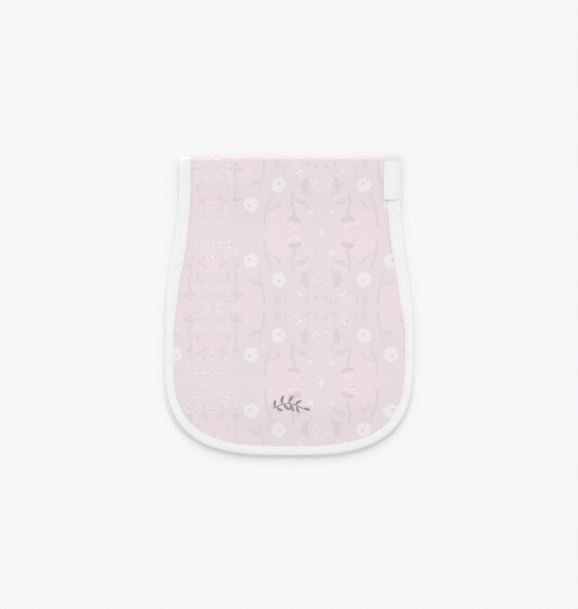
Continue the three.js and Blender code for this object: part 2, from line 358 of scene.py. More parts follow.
def meshObject(name, vertices, faces, uv=None):
    # a smooth-shaded mesh object at the origin from points, arrays of faces and a UV pair for each point
    mesh = bpy.data.meshes.new(name)
    every = [face for part in faces for face in part.tolist()]
    mesh.from_pydata(vertices.reshape(-1, 3).tolist(), [], every)
    if uv is not None:
        corners = np.empty(len(mesh.loops), dtype=np.int32)
        mesh.loops.foreach_get("vertex_index", corners)
        layer = mesh.uv_layers.new(name="flat")
        layer.data.foreach_set("uv", uv.reshape(-1, 2)[corners].astype(np.float32).ravel())
    mesh.polygons.foreach_set("use_smooth", np.ones(len(mesh.polygons), dtype=bool))
    mesh.update()
    thing = bpy.data.objects.new(name, mesh)
    bpy.context.scene.collection.objects.link(thing)
    return thing


def gridFaces(rows, columns, offset=0, closeRows=False, closeColumns=False):
    # quads over a grid of points, round the back where it is closed
    r = np.arange(rows if closeRows else rows - 1)
    c = np.arange(columns if closeColumns else columns - 1)
    r, c = np.meshgrid(r, c, indexing="ij")
    r2, c2 = (r + 1) % rows, (c + 1) % columns
    quads = np.stack([r * columns + c, r2 * columns + c, r2 * columns + c2, r * columns + c2], axis=-1)
    return quads.reshape(-1, 4) + offset


def sheetObject(name, outer, inner, uv):
    # a closed sheet: the outer grid, the inner grid turned over, and a strip of quads round the rim
    rows, columns = outer.shape[:2]
    count = rows * columns
    top = gridFaces(rows, columns)
    under = gridFaces(rows, columns, count)[:, ::-1]
    index = np.arange(count).reshape(rows, columns)
    rim = np.concatenate([index[:-1, 0], index[-1, :-1], index[:0:-1, -1], index[0, :0:-1]])
    after = np.roll(rim, -1)
    strip = np.stack([rim, rim + count, after + count, after], axis=-1)
    points = np.concatenate([outer.reshape(-1, 3), inner.reshape(-1, 3)])
    return meshObject(name, points, [top, under, strip], np.concatenate([uv.reshape(-1, 2)] * 2))


# One repeat of the print, mirrored both ways about two lines on the flat cloth, in metres; before: an even
# number of repeats that clears the cloth's far side
repeat = {"wide": 0.1022, "high": 0.0710, "mirrorU": 0.0293, "mirrorS": 0.0717, "before": 8}

# soft clouds of tone, in millimetres on the repeat: grey where tone is above 0, clear pink where it is below
clouds = named(("x", "y", "reachX", "reachY", "tone"), [
    (36, 26, 14, 14, 0.9),
    (33, 9, 12, 10, 0.6),
    (62, 45, 14, 13, 0.9),
    (62, 64, 9, 8, 0.6),
    (40, 50, 12, 7, 0.5),
    (8, 60, 7, 11, 0.7),
    (6, 49, 9, 5, 0.6),
    (18, 4, 7, 9, 0.5),
    (98, 10, 7, 14, 0.6),
    (90, 42, 8, 12, 0.4),
    (96, 62, 7, 9, 0.3),
    (60, 7, 10, 15, -1.1),
    (84, 5, 8, 8, -0.6),
    (34, 60, 8, 9, -0.8),
    (8, 33, 11, 9, -0.6),
    (19, 67, 8, 5, -0.6),
    (100, 30, 6, 9, -0.3),
])


def cloudTone(points):
    # tone * exp(-(x/reachX)^2 - (y/reachY)^2) summed over the table, at flat points brought into the repeat
    def mirrored(value, size):
        return np.abs(np.mod(value - size, 2 * size) - size)

    x = repeat["wide"] - mirrored(points[..., 0] - repeat["mirrorU"], repeat["wide"])
    y = mirrored(points[..., 1] - repeat["mirrorS"], repeat["high"])
    total = np.zeros_like(x)
    for row in clouds:
        away = ((x * 1000 - row["x"]) / row["reachX"]) ** 2 + ((y * 1000 - row["y"]) / row["reachY"]) ** 2
        total += row["tone"] * np.exp(-away)
    return np.clip(total, -1.0, 1.0)


def printedPanel():
    # a Coons patch between the two sides and two ends of the inset edge, in the flat, then laid over the fold
    t = np.linspace(0.0, 1.0, panelRelief["columns"] + 1)
    shares = t - panelRelief["edgeShare"] * np.sin(2 * np.pi * t) / (2 * np.pi)
    loop = edgeLoop(panelRelief["foldSteps"], panelRelief["sideSteps"], shares)
    inset = loop + edgeInward(loop) * cloth["inset"]
    last, across = 2 * (panelRelief["foldSteps"] + panelRelief["sideSteps"]), panelRelief["columns"]
    right = inset[: last + 1]
    upperEnd = inset[last : last + across + 1][::-1]
    left = inset[last + across : 2 * last + across + 1][::-1]
    lowerEnd = np.concatenate([left[:1], inset[2 * last + across + 1 :], right[:1]])
    b = np.linspace(0.0, 1.0, last + 1)[:, None, None]
    a = shares[None, :, None]
    flat = (1 - b) * lowerEnd[None] + b * upperEnd[None] + (1 - a) * left[:, None] + a * right[:, None]
    flat = flat - (1 - b) * ((1 - a) * left[0] + a * right[0]) - b * ((1 - a) * left[-1] + a * right[-1])
    outer, inner = clothFaces(flat)
    piece = sheetObject("printedCloth", outer, inner, flat)
    tone = piece.data.attributes.new("cloud", "FLOAT", "POINT")
    tone.data.foreach_set("value", np.tile(cloudTone(flat).ravel(), 2).astype(np.float32))
    x, y = inset[:, 0], inset[:, 1]
    area = 0.5 * abs(np.sum(x * np.roll(y, -1) - y * np.roll(x, -1)))
    cut = (float(x.max() - x.min()), float(y.max() - y.min()))
    print("printed cloth: cut %.3f by %.3f m, %.4f square metres" % (*cut, area))
    return piece, cut, float(area)


def bindingSection(width, length):
    # the section at each station, as distance in from the outer edge and height: a quarter-round lip, the
    # top, a quarter-ellipse roll, and the same mirrored; then the groove that holds the cloth
    r, roll = binding["lipRound"], binding["roll"]
    groove = binding["lip"] - r
    w, many = width[:, None], len(width)
    lip = np.linspace(0.0, np.pi / 2, binding["lipSteps"] + 1)[None, :-1]
    turn = np.linspace(np.pi / 2, 0.0, binding["rollSteps"] + 1)[None, 1:]
    t = np.linspace(0.0, 1.0, binding["topSteps"] + 1)[None, :] ** binding["topCrowding"]
    top = w - r + (roll - w + r) * t
    rolled = np.repeat(roll * (1 - np.cos(turn)), many, axis=0)
    level = bindingTop(w - r - top, length[:, None])
    start, end = level[:, :1] - binding["lip"], level[:, -1:]
    inward = np.concatenate([w - r * (1 - np.cos(lip)), top, rolled], axis=1)
    height = np.concatenate([groove + (r + start) * np.sin(lip), level, end * np.sin(turn)], axis=1)
    under = np.stack([inward[:, -2::-1], -height[:, -2::-1]], axis=-1)
    corners = np.array([[binding["floor"], -groove], [binding["floor"], groove]])
    corners = np.repeat(corners[None], many, axis=0)
    return np.concatenate([np.stack([inward, height], axis=-1), under, corners], axis=1)


def edgeBinding():
    # the section carried round the whole folded edge
    shares = np.linspace(0.0, 1.0, binding["endSteps"] + 1)
    loop = edgeLoop(binding["foldSteps"], binding["sideSteps"], shares)
    inwards = edgeInward(loop)
    length, whole = lengthAlong(loop)
    section = bindingSection(bindingWidth(loop), length * edgeLength / whole)
    flat = loop[:, None] + inwards[:, None] * section[..., :1]
    at, out = folded(flat)
    points = at + out * section[..., 1:]
    points[..., 2] = np.maximum(points[..., 2], 0.0)
    uv = np.stack([np.repeat(length[:, None], section.shape[1], axis=1), section[..., 0]], axis=-1)
    faces = gridFaces(len(loop), section.shape[1], closeRows=True, closeColumns=True)
    return meshObject("edgeBinding", points, [faces], uv)


label = {
    "from": 0.62,  # share of the fold's quarter turn that its face leaves bare
    "underFrom": 0.0004,  # and its under leg starts this far past the bend
    "length": 0.039,
    "over": 0.0156,  # reach from the binding's outer edge, on top and underneath
    "under": 0.0105,
    "thickness": 0.00026,
    "pressed": 0.4,  # its share of that where it is pressed round the edge
    "pressedTo": 0.0028,
    "pressedOver": 0.0022,
    "level": 0.00134,  # its middle over the binding's middle
    "freeLevel": 0.00076,  # and where its free edge lies on the cloth
    "freeEdge": 0.0008,
    "fallsOver": 0.0036,
    "roll": 0.0058,  # it rounds over this towards the outer edge
    "beyond": 0.00028,  # and passes the outer edge by this
    "lift": 0.00010,  # its lower end stands off a little
    "liftShare": 0.22,  # over this share of its length
    "liftFrom": 0.003,
    "liftOver": 0.006,
    "cornerRound": 0.0011,
    "cornerReach": 0.0007,
    "lowerCorner": 0.05,  # shares of its length
    "upperCorner": 0.03,
    "levelSteps": 20,
    "turnSteps": 18,
    "underSteps": 8,
    "rows": 50,
}


def sideLabel():
    # a strip round the rolled edge of the upper half's binding: over the top it lies on the cloth, climbs the
    # binding and rounds down half an ellipse, where it is pressed thinner, to run level underneath; carried
    # along the side from the fold's bend
    centre = label["roll"] - label["beyond"]
    over = np.linspace(label["over"], centre, label["levelSteps"] + 1)[:-1]
    angle = np.linspace(np.pi / 2, -np.pi / 2, label["turnSteps"] + 1)
    under = np.linspace(centre, label["under"], label["underSteps"] + 1)[1:]
    inward = np.concatenate([over, centre - label["roll"] * np.cos(angle), under])
    climb = smoothStep((label["over"] - label["freeEdge"] - over) / label["fallsOver"])
    top = label["freeLevel"] + (label["level"] - label["freeLevel"]) * climb
    height = np.concatenate([top, label["level"] * np.sin(angle), np.full_like(under, -label["level"])])
    facing = np.stack([np.gradient(height), -np.gradient(inward)], axis=-1)
    facing /= np.linalg.norm(facing, axis=1, keepdims=True)
    whole, at = measuredSide(halves["upper"], sides["right"])
    face = np.clip((1 + height / label["level"]) / 2, 0.0, 1.0)
    start = (foldQuarter + label["underFrom"]) * (1 - face) + foldQuarter * label["from"] * face
    end = foldQuarter * label["from"] + label["length"]
    t = np.linspace(0.0, 1.0, label["rows"] + 1)[:, None]
    corner = label["cornerRound"] * np.exp(-(label["over"] - inward) / label["cornerReach"])
    places = start + (end - start) * t
    places = places - corner * smoothStep((t - 1 + label["lowerCorner"]) / label["lowerCorner"])
    places = places + corner * smoothStep((label["upperCorner"] - t) / label["upperCorner"])
    edge = at(places)
    flat = np.stack([edge[..., 0] - inward, edge[..., 1]], axis=-1)
    middle, out = folded(flat)
    lift = label["lift"] * smoothStep((t - 1 + label["liftShare"]) / label["liftShare"]) ** 2
    lift = lift * smoothStep((inward - label["liftFrom"]) / label["liftOver"]) * (height > 0)
    middle = middle + out * (height + lift)[..., None]
    sideWay = np.array([-1.0, 0.0, 0.0])
    normal = sideWay * facing[None, :, :1] + out * facing[None, :, 1:]
    full = smoothStep((np.abs(inward) - label["pressedTo"]) / label["pressedOver"])
    half = label["thickness"] / 2 * (label["pressed"] + (1 - label["pressed"]) * full)[:, None]
    along = np.concatenate([[0.0], np.cumsum(np.hypot(np.diff(inward), np.diff(height)))])
    uv = np.stack([np.broadcast_to(along, places.shape), places], axis=-1)
    return sheetObject("sideLabel", middle + normal * half, middle - normal * half, uv)


# a thread's thickness runs as (1 - x^power)^(1/2) for x from -1 to 1, with 1 - x^power held up to "least"
threadEnds = {"power": 6, "least": 0.02}


def threadTubes(name, lines, ups, width, height, ring=6):
    # short threads: about each line of points a ring, width/2 * cos across and height/2 * sin off the cloth,
    # drawn in towards both ends
    along = np.gradient(lines, axis=1)
    along /= np.linalg.norm(along, axis=2, keepdims=True)
    across = np.cross(along, ups)
    across /= np.linalg.norm(across, axis=2, keepdims=True)
    angle = np.linspace(0.0, 2 * np.pi, ring, endpoint=False)
    threads, points = lines.shape[:2]
    ends = 1 - (2 * np.linspace(0, 1, points) - 1) ** threadEnds["power"]
    ends = np.sqrt(np.clip(ends, threadEnds["least"], 1))[None, :, None, None]
    rings = lines[:, :, None] + ends * (
        across[:, :, None] * (width / 2 * np.cos(angle))[None, None, :, None]
        + ups[:, :, None] * (height / 2 * np.sin(angle))[None, None, :, None]
    )
    one = gridFaces(points, ring, closeColumns=True)
    starts = (np.arange(threads) * points * ring)[:, None]
    quads = (one[None] + starts[..., None]).reshape(-1, 4)
    firstCaps = np.arange(ring)[::-1][None] + starts
    lastCaps = np.arange(ring)[None] + (points - 1) * ring + starts
    return meshObject(name, rings, [quads, firstCaps, lastCaps])


stitch = {
    "pitch": 0.0029,
    "length": 0.0023,
    "width": 0.00032,
    "height": 0.00024,
    "sunk": 0.00004,
    "bow": 0.00009,
    "points": 5,
}


def bindingStitches():
    # a row of short stitches in the dip of the binding, round the whole outer face, none below the floor
    closed = np.concatenate([measuringLoop, measuringLoop[:1]])
    lengths = np.concatenate([measuringLengths, [edgeLength]])
    count = int(round(edgeLength / stitch["pitch"]))
    middle = (np.arange(count) + 0.5) * edgeLength / count
    offsets = np.linspace(-0.5, 0.5, stitch["points"]) * stitch["length"]
    places = (middle[:, None] + offsets) % edgeLength
    inwards = edgeInward(measuringLoop)
    inwards = np.concatenate([inwards, inwards[:1]])
    flat = np.stack([np.interp(places, lengths, closed[:, k]) for k in (0, 1)], axis=-1)
    inward = np.stack([np.interp(places, lengths, inwards[:, k]) for k in (0, 1)], axis=-1)
    inward /= np.linalg.norm(inward, axis=-1, keepdims=True)
    flat = flat + inward * (bindingWidth(flat) - binding["stitchIn"] - binding["lipRound"])[..., None]
    at, out = folded(flat)
    bow = np.cos(np.pi * np.linspace(-0.5, 0.5, stitch["points"])) * stitch["bow"]
    level = bindingTop(np.full_like(places, binding["stitchIn"]), places)
    at = at + out * (level - stitch["sunk"] + bow)[..., None]
    at[..., 2] = np.maximum(at[..., 2], stitch["height"] / 2)
    return threadTubes("bindingStitches", at, out, stitch["width"], stitch["height"])


# A small leafy sprig in satin stitch, near the end of the upper half
sprig = {
    "x": 0.0028,
    "y": -0.0938,
    "length": 0.0285,
    "arch": 0.0030,
    "stemWidth": 0.0012,
    "threadWidth": 0.00042,
    "threadHeight": 0.00034,
    "spacing": 0.00035,
    "dome": 0.00030,
    "rootShare": 0.62,  # of its length to the left of x
    "archTurns": 1.35,  # half turns of the stem's sine wave, where the wave starts, and how far it is lowered
    "archStart": 0.5,
    "lowered": 0.0012,
    "ahead": 0.01,  # share of the stem over which its direction is taken
    "stemSlant": 0.35,
    "leafSlant": 0.45,
    "leafFrom": 0.04,  # shares of a leaf's length that are sewn
    "leafTo": 0.97,
    "leafFull": 0.85,  # powers of its outline
    "leafRound": 0.9,
    "leafBend": 0.0007,
    "leafRoot": 0.0005,
    "threadPoints": 7,
    "domeAt": 0.0022,  # a thread this long stands up by the dome, others between the two shares of it
    "domeLeast": 0.5,
    "domeMost": 1.3,
    "domeRound": 0.6,
    "sunk": 0.00012,
    # share of the stem, the side it grows to, its length, its greatest width and its angle to the stem
    "leaves": named(("at", "side", "long", "wide", "angle"), [
        (0.06, 1, 0.0072, 0.0028, 58),
        (0.12, -1, 0.0074, 0.0029, 56),
        (0.28, 1, 0.0088, 0.0032, 56),
        (0.35, -1, 0.0088, 0.0033, 54),
        (0.50, 1, 0.0090, 0.0033, 54),
        (0.57, -1, 0.0084, 0.0032, 52),
        (0.72, 1, 0.0078, 0.0030, 50),
        (0.79, -1, 0.0070, 0.0028, 47),
        (0.98, 1, 0.0074, 0.0030, 3),
    ]),
}


def stemPoint(t):
    # x runs evenly along the stem, y is part of a sine wave that rises to its middle and falls again
    x = (t - sprig["rootShare"]) * sprig["length"]
    y = sprig["arch"] * np.sin(sprig["archTurns"] * np.pi * t - sprig["archStart"]) - sprig["lowered"]
    return np.stack([x, y], axis=-1)


def sprigThreads():
    # both ends of every thread, on the sprig's own plane: across the stem, then across each leaf, whose
    # half-width at a share t of its length is wide/2 * sin(pi t^full)^round
    starts, ends = [], []
    t = np.arange(0.0, 1.0, sprig["spacing"] / sprig["length"])
    middle = stemPoint(t)
    way = stemPoint(t + sprig["ahead"]) - middle
    way /= np.linalg.norm(way, axis=1, keepdims=True)
    slant = way * sprig["stemSlant"] + np.stack([-way[:, 1], way[:, 0]], axis=1)
    starts.append(middle - slant * sprig["stemWidth"] / 2)
    ends.append(middle + slant * sprig["stemWidth"] / 2)
    for leaf in sprig["leaves"]:
        root = stemPoint(np.array([leaf["at"]]))[0]
        along = stemPoint(np.array([leaf["at"] + sprig["ahead"]]))[0] - root
        heading = np.arctan2(along[1], along[0]) + leaf["side"] * np.radians(leaf["angle"])
        forward = np.array([np.cos(heading), np.sin(heading)])
        aside = np.array([-forward[1], forward[0]])
        t = np.arange(sprig["leafFrom"], sprig["leafTo"], sprig["spacing"] / leaf["long"])
        half = leaf["wide"] / 2 * np.sin(np.pi * t ** sprig["leafFull"]) ** sprig["leafRound"]
        bend = leaf["side"] * sprig["leafBend"] * np.sin(np.pi * t)
        spine = root + forward * (sprig["leafRoot"] + t[:, None] * leaf["long"]) + aside * bend[:, None]
        slanted = aside + forward * sprig["leafSlant"]
        starts.append(spine - slanted * half[:, None])
        ends.append(spine + slanted * half[:, None])
    return np.concatenate(starts), np.concatenate(ends)


def sewnSprig():
    # each thread bows up off the cloth in the middle and dips into it at both ends
    starts, ends = sprigThreads()
    t = np.linspace(0.0, 1.0, sprig["threadPoints"])[None, :, None]
    lines = starts[:, None] * (1 - t) + ends[:, None] * t
    long = np.linalg.norm(ends - starts, axis=1)[:, None]
    x, y = lines[..., 0] + sprig["x"], lines[..., 1] + sprig["y"]
    flat = np.stack([x - sideways, foldQuarter + foldY - y], axis=-1)
    outer, inner = clothFaces(flat)
    out = outer - inner
    out /= np.linalg.norm(out, axis=-1, keepdims=True)
    dome = sprig["dome"] * np.clip(long / sprig["domeAt"], sprig["domeLeast"], sprig["domeMost"])
    rise = dome * np.sin(np.pi * t[..., 0]) ** sprig["domeRound"] - sprig["sunk"]
    lines = outer + out * rise[..., None]
    return threadTubes("sewnSprig", lines, out, sprig["threadWidth"], sprig["threadHeight"])


# Node helpers: a number or a socket goes into each input
def feed(tree, value, socket):
    if isinstance(value, bpy.types.NodeSocket):
        tree.links.new(value, socket)
    else:
        socket.default_value = value


def addNode(tree, kind, inputs=(), **settings):
    made = tree.nodes.new(kind)
    for key, value in settings.items():
        setattr(made, key, value)
    for key, value in dict(inputs).items():
        feed(tree, value, made.inputs[key])
    return made


def calc(tree, operation, *values, clamp=False):
    made = addNode(tree, "ShaderNodeMath", operation=operation, use_clamp=clamp)
    for place, value in enumerate(values):
        feed(tree, value, made.inputs[place])
    return made.outputs[0]


def vectorCalc(tree, operation, *values):
    made = addNode(tree, "ShaderNodeVectorMath", operation=operation)
    for place, value in enumerate(values):
        feed(tree, value, made.inputs[place])
    return made.outputs["Value" if operation in ("DOT_PRODUCT", "LENGTH", "DISTANCE") else "Vector"]


def soften(tree, value, low, high):
    # 0 below low, 1 above high, a smooth step between
    made = addNode(tree, "ShaderNodeMapRange", {"Value": value, "From Min": low, "From Max": high},
                   interpolation_type="SMOOTHSTEP", clamp=False)
    return made.outputs["Result"]


def tint(tree, share, under, over):
    # under where share is 0, over where it is 1
    made = addNode(tree, "ShaderNodeMix", data_type="RGBA")
    feed(tree, share, made.inputs[0])
    feed(tree, under, made.inputs[6])
    feed(tree, over, made.inputs[7])
    return made.outputs[2]


def partsOf(tree, vector):
    return addNode(tree, "ShaderNodeSeparateXYZ", {"Vector": vector}).outputs


# onFlat: what falls on a level face, sky + sun * sin(sunHeight) / pi
lights = {"sky": 0.829, "sun": 1.350, "sunHeight": 38, "sunSize": 50, "onFlat": 1.094}


def shown(red, green, blue):
    # a colour as it shows on a level face, 0 to 255, to linear, divided by the light that falls there
    c = np.array([red, green, blue]) / 255.0
    c = np.where(c <= 0.04045, c / 12.92, ((c + 0.055) / 1.055) ** 2.4) / lights["onFlat"]
    return (*[float(v) for v in c], 1.0)


def shapeGroup(name, vectors, numbers, outputs):
    # an empty node group with some vectors and numbers in, and masks out
    group = bpy.data.node_groups.new(name, "ShaderNodeTree")
    for key in vectors:
        group.interface.new_socket(key, in_out="INPUT", socket_type="NodeSocketVector")
    for key in numbers:
        group.interface.new_socket(key, in_out="INPUT", socket_type="NodeSocketFloat")
    for key in outputs:
        group.interface.new_socket(key, in_out="OUTPUT", socket_type="NodeSocketFloat")
    return group, addNode(group, "NodeGroupInput").outputs, addNode(group, "NodeGroupOutput").inputs


# How the print is drawn. Noise: its scale and detail. A pair with a band: a soft edge from the first to the
# second. Strengths of brush, wash and shade: what the noise is multiplied by, and what is added to it.
printing = {
    "wobbleNoise": (260.0, 2.0),
    "wobble": 0.0030,  # unsteadiness of the brush
    "strokeSoft": 0.0009,  # a stroke's soft edge, to either side of its outline
    "speckFull": 0.5,  # shares of a speck's size at which it is full, and gone
    "speckGone": 1.25,
    "cloudNoise": (95.0, 3.0),
    "brushNoise": (420.0, 2.0),
    "brush": (1.1, 0.45),
    "darkSpecks": 0.6,
    "fadeNoise": (42.0, 1.0),
    "fadeBand": (0.20, 0.50),
    "washNoise": (330.0, 2.0),
    "wash": (0.9, 0.6),
    "seams": 0.5,
    "hearts": 0.75,
    "heartSize": 1.5,  # in millimetres
    "weave": 0.00045,
    "slubNoise": (900.0, 2.0),
    "slubHeight": 0.6,
    "shade": (0.014, 0.993),
    "relief": (0.00006, 0.4),
}
petal = {
    "count": 5,
    "least": 0.84,
    "lobe": 0.16,
    "power": 0.7,
    "rimBand": (-0.0013, 0.0015),
    "seamBand": (0.0002, 0.0013),
    "heartBand": (0.0014, 0.0026),
    "seamEndBand": (0.0004, 0.0020),
}


def blossomGroup():
    # soft petals: reach = size * (least + lobe * |cos(count/2 * angle)|^power); thin seams between them that
    # end short of the heart and of the rim
    group, given, result = shapeGroup("blossom", ("Place", "Centre"), ("Size", "Turn"), ("Petals", "Seams"))
    away = vectorCalc(group, "SUBTRACT", given["Place"], given["Centre"])
    parts = partsOf(group, away)
    far = vectorCalc(group, "LENGTH", away)
    angle = calc(group, "ADD", calc(group, "ARCTAN2", parts["Y"], parts["X"]), given["Turn"])
    lobe = calc(group, "COSINE", calc(group, "MULTIPLY", angle, petal["count"] / 2))
    lobe = calc(group, "ABSOLUTE", lobe)
    share = calc(group, "POWER", lobe, petal["power"])
    share = calc(group, "MULTIPLY_ADD", share, petal["lobe"], petal["least"])
    inside = calc(group, "SUBTRACT", calc(group, "MULTIPLY", share, given["Size"]), far)
    feed(group, soften(group, inside, *petal["rimBand"]), result["Petals"])
    seam = soften(group, calc(group, "MULTIPLY", lobe, far), *petal["seamBand"])
    seam = calc(group, "SUBTRACT", 1.0, seam)
    seam = calc(group, "MULTIPLY", seam, soften(group, far, *petal["heartBand"]))
    seam = calc(group, "MULTIPLY", seam, soften(group, inside, *petal["seamEndBand"]))
    feed(group, seam, result["Seams"])
    return group


def strokeGroup():
    # a brush stroke from its start along a line, bent to a parabola: half-width = base + swell * t(1 - t) at
    # a share t of its length, rounded off beyond both ends
    group, given, result = shapeGroup("stroke", ("Place", "Start", "Along", "Aside"),
                                      ("Long", "Bend", "Swell", "Base", "Ink"), ("Mask",))
    away = vectorCalc(group, "SUBTRACT", given["Place"], given["Start"])
    share = vectorCalc(group, "DOT_PRODUCT", away, given["Along"])
    t = calc(group, "MINIMUM", calc(group, "MAXIMUM", share, 0.0), 1.0)
    bulge = calc(group, "MULTIPLY", t, calc(group, "SUBTRACT", 1.0, t))
    aside = vectorCalc(group, "DOT_PRODUCT", away, given["Aside"])
    aside = calc(group, "MULTIPLY_ADD", bulge, given["Bend"], aside)
    beyond = calc(group, "ABSOLUTE", calc(group, "SUBTRACT", share, t))
    far = calc(group, "MULTIPLY_ADD", beyond, given["Long"], calc(group, "ABSOLUTE", aside))
    half = calc(group, "MULTIPLY_ADD", bulge, given["Swell"], given["Base"])
    inside = calc(group, "SUBTRACT", half, far)
    body = soften(group, inside, -printing["strokeSoft"], printing["strokeSoft"])
    feed(group, calc(group, "MULTIPLY", body, given["Ink"]), result["Mask"])
    return group


def speckGroup():
    # a soft round speck: full up to one distance from its centre, gone at another
    group, given, result = shapeGroup("speck", ("Place", "Centre"), ("Inner", "Outer"), ("Mask",))
    far = vectorCalc(group, "DISTANCE", given["Place"], given["Centre"])
    gone = soften(group, far, given["Inner"], given["Outer"])
    feed(group, calc(group, "SUBTRACT", 1.0, gone), result["Mask"])
    return group


printColours = {
    "ground": shown(235, 222, 224.5),
    "grey": shown(230, 221.5, 222),
    "pink": shown(239, 222, 225),
    "rose": shown(234, 216, 220),
    "ink": shown(212, 198, 201),
    "pale": shown(248, 240, 241),
    "petal": shown(241, 236, 235),
    "seam": shown(228, 220, 220),
    "heart": shown(212, 208, 207),
}

# Blossoms, in millimetres on the repeat, with the heart's distance from the centre
blossoms = [
    {"x": 36.2, "y": 26.6, "size": 7.2, "turn": 0.3, "heart": (-1.6, -1.0)},
    {"x": 62.0, "y": 44.6, "size": 7.1, "turn": 1.1, "heart": (0.6, 1.0)},
]

# Brush strokes of the print, in millimetres on the repeat. ends: 0 runs to points like a leaf, 1 is even like
# a stem. bow: how far the middle stands to the left. ink: how strong it shows.
strokeColumns = ("x", "y", "toX", "toY", "wide", "ends", "bow", "ink")
greyStrokes = named(strokeColumns, [
    # tall stem with a head of leaves, and the leaves to its left
    (20.4, 56.5, 22.6, 44.0, 1.9, 1.0, 0.3, 0.36),
    (22.6, 44.0, 20.8, 32.0, 2.0, 1.0, -0.6, 0.38),
    (20.8, 32.0, 19.0, 23.0, 1.8, 0.8, 0.2, 0.34),
    (20.6, 35.0, 24.2, 45.8, 1.3, 0.7, 0.9, 0.40),
    (20.6, 57.2, 15.4, 61.4, 2.4, 0.2, 0.0, 0.38),
    (20.2, 57.6, 28.6, 59.6, 4.6, 0.3, 0.6, 0.40),
    (21.5, 58.2, 22.2, 65.4, 4.2, 0.2, 0.0, 0.30),
    (19.2, 31.0, 25.6, 30.6, 3.8, 0.3, 0.3, 0.46),
    (16.2, 26.8, 3.8, 34.0, 2.3, 0.1, 0.4, 0.44),
    (13.4, 35.5, 14.6, 46.5, 2.6, 0.1, -0.6, 0.26),
    (12.4, 42.2, 15.6, 41.4, 2.2, 0.3, 0.0, 0.32),
    (5.4, 33.9, 11.6, 33.6, 2.0, 0.1, 0.0, 0.24),
    (8.3, 20.5, 9.0, 27.5, 1.6, 0.2, 0.0, 0.42),
    (7.4, 46.8, 13.2, 47.0, 1.5, 0.2, 0.0, 0.18),
    # stem that winds between the two blossoms
    (48.4, 67.5, 48.0, 57.0, 2.0, 0.9, 0.0, 0.42),
    (48.0, 57.0, 45.8, 46.5, 1.9, 0.9, -0.4, 0.40),
    (45.8, 46.5, 43.8, 36.5, 1.6, 0.8, 0.0, 0.26),
    (56.4, 38.4, 51.6, 27.0, 1.8, 0.9, 0.5, 0.38),
    (51.6, 27.0, 49.3, 15.5, 2.0, 0.9, 0.3, 0.38),
    (49.3, 15.5, 48.8, 6.0, 2.2, 0.7, 0.0, 0.42),
    (46.8, 49.4, 34.6, 46.6, 3.4, 0.1, 0.7, 0.40),
    (31.6, 44.3, 36.8, 44.7, 2.7, 0.2, 0.0, 0.36),
    (36.8, 48.4, 43.6, 49.3, 2.0, 0.2, 0.0, 0.32),
    (53.5, 21.4, 60.2, 23.6, 1.7, 0.8, -0.6, 0.38),
    (60.2, 23.6, 63.8, 30.4, 2.6, 0.4, -0.9, 0.42),
    (54.4, 24.5, 54.2, 35.0, 2.2, 0.5, 0.0, 0.28),
    # short stem with the darkest head of leaves
    (75.6, 38.5, 74.3, 29.0, 1.8, 0.9, 0.3, 0.50),
    (74.3, 29.0, 76.8, 14.5, 1.9, 1.0, 0.9, 0.54),
    (75.2, 20.6, 70.8, 25.8, 1.0, 0.7, 0.0, 0.42),
    (77.2, 13.6, 71.0, 11.6, 4.0, 0.2, -0.3, 0.58),
    (76.4, 13.6, 83.4, 9.6, 3.8, 0.2, 0.6, 0.58),
    (74.0, 12.4, 79.8, 12.0, 4.2, 0.3, 0.0, 0.50),
    (79.6, 11.4, 80.2, 7.6, 2.0, 0.3, 0.0, 0.48),
    # curled leaf and the broad ones beside it
    (75.4, 34.0, 81.6, 28.2, 1.2, 0.8, 0.4, 0.42),
    (79.8, 29.2, 88.2, 29.8, 2.6, 0.2, -1.8, 0.50),
    (81.0, 28.7, 86.0, 26.4, 1.4, 0.2, 0.0, 0.62),
    (85.6, 28.2, 90.8, 22.2, 1.5, 0.5, 0.6, 0.48),
    (77.6, 31.2, 85.2, 29.2, 6.4, 0.4, 0.0, 0.22),
    (85.8, 36.5, 88.2, 52.5, 7.0, 0.1, 0.0, 0.36),
    (84.4, 43.6, 90.2, 53.4, 2.4, 0.2, 0.5, 0.38),
    (91.6, 30.0, 91.2, 38.6, 1.6, 0.4, 0.0, 0.48),
    (91.4, 35.4, 87.2, 41.6, 2.2, 0.3, 0.3, 0.48),
    (80.4, 46.4, 86.4, 43.8, 4.0, 0.2, 0.0, 0.28),
    (86.6, 62.4, 94.2, 67.6, 4.0, 0.2, 0.0, 0.34),
    (99.2, 59.8, 95.6, 63.8, 2.4, 0.3, 0.0, 0.42),
    # small leaves above the right blossom
    (60.0, 60.6, 60.5, 68.2, 4.2, 0.2, 0.0, 0.32),
    (63.3, 60.0, 63.0, 67.4, 1.4, 0.6, 0.0, 0.32),
    (68.3, 57.0, 68.3, 66.0, 1.7, 0.6, 0.0, 0.38),
    (71.5, 2.8, 71.3, 7.6, 1.4, 0.3, 0.0, 0.38),
])
roseStrokes = named(strokeColumns, [
    (49.0, 21.5, 63.5, 27.5, 8.0, 0.2, 0.0, 0.52),
    (45.5, 25.5, 56.0, 22.0, 7.0, 0.2, 0.0, 0.52),
    (70.8, 9.6, 66.0, 3.0, 5.0, 0.3, 0.0, 0.50),
    (82.0, 3.0, 95.0, 8.0, 8.0, 0.3, 0.0, 0.36),
    (14.5, 66.0, 28.5, 64.5, 5.0, 0.3, 0.0, 0.50),
    (40.6, 41.5, 47.2, 43.6, 3.2, 0.2, 0.0, 0.60),
    (84.8, 41.0, 89.4, 50.5, 3.4, 0.2, 0.0, 0.50),
])
